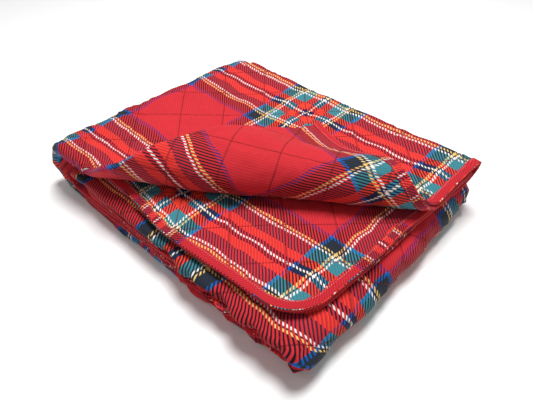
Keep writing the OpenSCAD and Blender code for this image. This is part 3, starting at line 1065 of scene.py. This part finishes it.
def tape_points(run, path):
    """Outer and inner points of the tape, and the length along its path."""
    length = running_length(path[:, :2])
    wave = (1 + 0.05 * np.sin(length / 7.0) + 0.04 * np.sin(length / 3.1 + 1))[:, None]
    swell = 1 + 0.07 * np.sin(length / 5.3)[:, None]
    sides = []
    for profile, thickness in ((TAPE_OUTER, swell), (TAPE_INNER, 1)):
        depth = profile[:, 0] * wave
        sides.append(place(run, path[:, :1] + path[:, 2:3] * depth,
                           path[:, 1:2] + path[:, 3:] * depth, profile[:, 1] * thickness))
    return sides[0], sides[1], length


def tape_uv(length):
    """Along the tape from its last end, and across it."""
    return np.stack(np.meshgrid((length[-1] - length) - TAPE_UV_START,
                                running_length(TAPE_OUTER), indexing="ij"), -1)


def add_top_tape(path):
    """Tape of the top third, cut where the turned leaf leaves the stack."""
    outer, inner, length = tape_points("top", path)
    rows, columns = outer.shape[:2]
    faces = grid_faces(rows, columns)
    leaf = np.repeat(leaf_distance(path[:, 0], path[:, 1]), columns)
    homes = np.digitize(leaf[faces].mean(1), ROLL_CUTS)
    uv = tape_uv(length)
    for index, body in enumerate(TOP_BODIES):
        kept = faces[homes == index]
        used, renumbered = np.unique(kept, return_inverse=True)
        add_sheet(body, "edge_binding", outer.reshape(-1, 3)[used], inner.reshape(-1, 3)[used],
                  uv.reshape(-1, 2)[used], renumbered.reshape(kept.shape).tolist(), BINDING)


def add_tape(body, paths, suffix=""):
    """One length of tape through several runs."""
    sides = [tape_points(run, path)[:2] for run, path in paths]
    outer, inner = (np.concatenate(side) for side in zip(*sides))
    add_sheet(body, "edge_binding", outer, inner, tape_uv(running_length(outer[:, TAPE_CREST])),
              grid_faces(*outer.shape[:2]).tolist(), BINDING, suffix)


TOP_EDGE, INNER_EDGE = bound_edge("top"), bound_edge("inner")
BASE_OUT = side_edge(stations(LEFT_X, RIGHT_X, 6), 0.0)
RIGHT_OUT = side_edge(np.linspace(math.pi, 0, 9)[1:], 0.0)
RIGHT_RETURN = side_edge(np.linspace(0, math.pi, 9)[1:], GIRTH)
BASE_RETURN = side_edge(stations(RIGHT_X, LEFT_X, 6), GIRTH)
LEFT_EDGES = [side_edge(np.linspace(0, math.pi, 17), across) for across in (0.0, GIRTH)]

add_top_tape(TOP_EDGE)
add_tape("lower_stack", [("base", BASE_OUT), ("right", RIGHT_OUT), ("inner", INNER_EDGE[1:]),
                         ("right", RIGHT_RETURN), ("base", BASE_RETURN[1:])])
for letter, left_edge in zip("ab", LEFT_EDGES):
    add_tape("back_crease", [("left", left_edge)], suffix="_" + letter)

# ------------------------------------------------------------------ stitches
# share: stitch length over pitch; width: of a stitch; lift: off the cloth
Thread = namedtuple("Thread", "part material share width lift")
QUILTING = Thread("quilting_thread", QUILT_THREAD, share=0.74, width=1.0, lift=0.12)
TOPSTITCH = Thread("binding_stitch", TAPE_THREAD, share=0.66, width=0.7, lift=0.1)
STITCH_HEIGHT = 0.3
# Corners of a stitch: shares of its length ahead, its width aside, its height up.
BEAD_POINTS = ((-0.5, 0, 0), (-0.18, 0.5, 0), (0.18, 0.5, 0), (0.5, 0, 0), (0.18, -0.5, 0),
               (-0.18, -0.5, 0), (-0.12, 0, 1), (0.12, 0, 1), (0, 0, -1))
BEAD_FACES = np.array([
    [0, 6, 1], [1, 6, 7], [1, 7, 2], [2, 7, 3], [3, 7, 4], [4, 7, 6], [4, 6, 5], [5, 6, 0],
    [0, 1, 8], [1, 2, 8], [2, 3, 8], [3, 4, 8], [4, 5, 8], [5, 0, 8]])


def unit(vectors):
    return vectors / (np.linalg.norm(vectors, axis=1, keepdims=True) + 1e-12)


def beads(centre, ahead, up, length, width):
    """Every stitch is a small rounded bead of thread."""
    aside = unit(np.cross(ahead, up))
    points = np.stack([
        centre + ahead * length * forth + aside * width * out + up * STITCH_HEIGHT * high
        for forth, out, high in BEAD_POINTS], 1)
    first = np.arange(len(centre))[:, None, None] * len(BEAD_POINTS)
    return points.reshape(-1, 3), (first + BEAD_FACES[None]).reshape(-1, 3)


def stitch_line(run, along, across, height, side, pitch, lift):
    """Stitches along one line: centre, ahead, up and leaf distance of each, in a
    list that is empty where the line is too short."""
    line = place(run, along, across, height(run, along, across))
    length = running_length(line)
    if length[-1] < pitch * 1.5:
        return []
    at = np.arange(pitch / 2, length[-1], pitch)
    along, across = np.interp(at, length, along), np.interp(at, length, across)
    out = height(run, along, across) + side * lift
    centre = place(run, along, across, out)
    up = unit(place(run, along, across, out + side) - centre)
    ahead = unit(np.stack([np.interp(at + 1, length, axis) - np.interp(at - 1, length, axis)
                           for axis in line.T], 1))
    leaf = leaf_distance(along, across) if run == "top" else np.full(len(at), -1.0)
    return [(centre, ahead, up, leaf)]


def add_stitches(thread, pitch, stitches, bodies):
    """Stitches shared out over the bodies by leaf distance."""
    centre, ahead, up, leaf = (np.concatenate(column) for column in zip(*stitches))
    homes = np.digitize(leaf, ROLL_CUTS)
    for index, body in enumerate(bodies):
        here = homes == index
        points, faces = beads(centre[here], ahead[here], up[here],
                              pitch * thread.share, thread.width)
        uv = np.stack([points[:, 0] + points[:, 1], points[:, 2] - points[:, 1]], -1)
        add_piece(body, thread.part, points, faces.tolist(), uv, thread.material,
                  replaces=body not in ("corner_roll", "back_crease"))


def seam_pieces(offset, rows):
    """Unbroken pieces of the line where the offset is zero in a grid, each as
    its columns and its place across."""
    crosses = offset[:-1] * offset[1:] <= 0
    columns = np.where(crosses.any(0))[0]
    first = crosses.argmax(0)[columns]
    before, after = offset[first, columns], offset[first + 1, columns]
    across = rows[first] + (rows[1] - rows[0]) * before / (before - after + 1e-12)
    breaks = np.where(np.diff(columns) > 1)[0] + 1
    return zip(np.split(columns, breaks), np.split(across, breaks))


def quilt_layer(run, places, rows, pitch):
    """Stitches of both families of quilting lines in one layer of a run."""
    stitches = []
    cloth_x, cloth_y = cloth_uv(run, np.repeat(places[None], len(rows), 0),
                                np.repeat(rows[:, None], len(places), 1))
    for family in (1, -1):
        count = (cloth_x + family * cloth_y) / math.sqrt(2) / QUILT
        for line in range(math.floor(count.min()), math.ceil(count.max()) + 1):
            for columns, across in seam_pieces(count - line, rows):
                along = places[columns]
                inside = end_distance(run, along) > TAPE + 2 + corner_cut(across)
                along, across = along[inside], across[inside]
                if len(along) < 4:
                    continue
                for side, height in ((1, face_height), (-1, backing_underside)):
                    stitches += stitch_line(run, along, across, height, side, pitch,
                                            QUILTING.lift)
    return stitches


def add_quilting(runs, pitch, bodies):
    stitches = []
    for run, start, end in runs:
        for part in (0, 2, 4, 6):
            low = TAPE + 2 if part == 0 else BREAKS[part]
            high = GIRTH - TAPE - 2 if part == 6 else BREAKS[part + 1]
            stitches += quilt_layer(run, np.linspace(start, end, 240),
                                    np.linspace(low, high, 160), pitch)
    add_stitches(QUILTING, pitch, stitches, bodies)


def add_topstitch(paths, bodies):
    """Two rows of stitches, on both sides of the tape near its inner edge."""
    pitch, depth = 3.6, TAPE - 2.2
    stitches = []
    for run, path in paths:
        along, across = (path[:, :2] + path[:, 2:] * depth).T
        for side in (1, -1):
            def height(run, along, across):
                return np.full(len(along), side * (HALF_LAYER + 0.72))
            stitches += stitch_line(run, along, across, height, side, pitch, TOPSTITCH.lift)
    add_stitches(TOPSTITCH, pitch, stitches, bodies)


add_quilting([("top", LEFT_X, END_X)], 4.6, TOP_BODIES)
add_quilting([("left", 0.0, math.pi)], 5.0, ["back_crease"])
add_quilting([("base", LEFT_X, RIGHT_X), ("right", math.pi, 0.0),
              ("inner", INNER_END_X, RIGHT_X)], 6.0, ["lower_stack"])
add_topstitch([("top", TOP_EDGE)], TOP_BODIES)
add_topstitch([("base", BASE_OUT), ("right", RIGHT_OUT), ("inner", INNER_EDGE),
               ("right", RIGHT_RETURN), ("base", BASE_RETURN)], ["lower_stack"])
add_topstitch([("left", edge) for edge in LEFT_EDGES], ["back_crease"])


# ------------------------------------------------------------------ floor, light, camera
def add_floor(half=6.0):
    """A wide square of pale paper, in metres."""
    mesh = bpy.data.meshes.new("floor")
    corners = [(-half, -half, 0), (half, -half, 0), (half, half, 0), (-half, half, 0)]
    mesh.from_pydata(corners, [], [(0, 1, 2, 3)])
    floor = bpy.data.objects.new("floor", mesh)
    bpy.context.scene.collection.objects.link(floor)
    shader = Shader("floor_paper")
    noise = shader.node("ShaderNodeTexNoise", {"Scale": 3.0}).outputs[0]
    paper = shader.mix(noise, (0.93, 0.93, 0.93, 1), (0.96, 0.96, 0.96, 1))
    mesh.materials.append(shader.finish({
        "Base Color": paper, "Roughness": 0.9, "Specular IOR Level": 0.1}))


def add_light(name, location, power, size=0.9, target=(0, 0, 0.05)):
    """A round area light aimed at the blanket, in metres and watts."""
    light = bpy.data.lights.new(name, "AREA")
    light.shape = "DISK"
    light.size = size
    light.energy = power
    lamp = bpy.data.objects.new(name, light)
    lamp.location = location
    aim = Vector(target) - Vector(location)
    lamp.rotation_euler = aim.to_track_quat("-Z", "Y").to_euler()
    bpy.context.scene.collection.objects.link(lamp)


def set_world(seen=0.72, cast=0.23):
    """White surroundings that cast little light and look brighter to the camera."""
    world = bpy.data.worlds.new("studio")
    bpy.context.scene.world = world
    world.use_nodes = True
    tree = world.node_tree
    background = tree.nodes["Background"]
    background.inputs[0].default_value = (1, 1, 1, 1)
    rays = tree.nodes.new("ShaderNodeLightPath")
    level = tree.nodes.new("ShaderNodeMath")
    level.operation = "MULTIPLY_ADD"
    level.inputs[1].default_value, level.inputs[2].default_value = seen, cast
    tree.links.new(rays.outputs["Is Camera Ray"], level.inputs[0])
    tree.links.new(level.outputs[0], background.inputs[1])


def add_camera():
    """A camera in front and to the right, looking down. Its axes are unit vectors."""
    lens = bpy.data.cameras.new("camera")
    lens.sensor_width = 36.0
    lens.lens = 31.31
    lens.clip_start, lens.clip_end = 0.01, 50
    camera = bpy.data.objects.new("camera", lens)
    bpy.context.scene.collection.objects.link(camera)
    right = (0.725416, 0.688224, -0.010917)
    up = (-0.454344, 0.490690, 0.743502)
    backward = (0.517053, -0.534388, 0.668645)
    position = (0.3962, -0.3874, 0.4919)
    camera.matrix_world = Matrix([*zip(right, up, backward, position), (0, 0, 0, 1)])
    bpy.context.scene.camera = camera


add_floor()
add_light("key", location=(-0.1, 0.35, 2.0), power=46)
add_light("front", location=(1.2, -1.3, 1.9), power=3)
add_light("left", location=(-1.5, -0.9, 1.2), power=3)
set_world()
bpy.context.scene.view_settings.view_transform = "Standard"
add_camera()
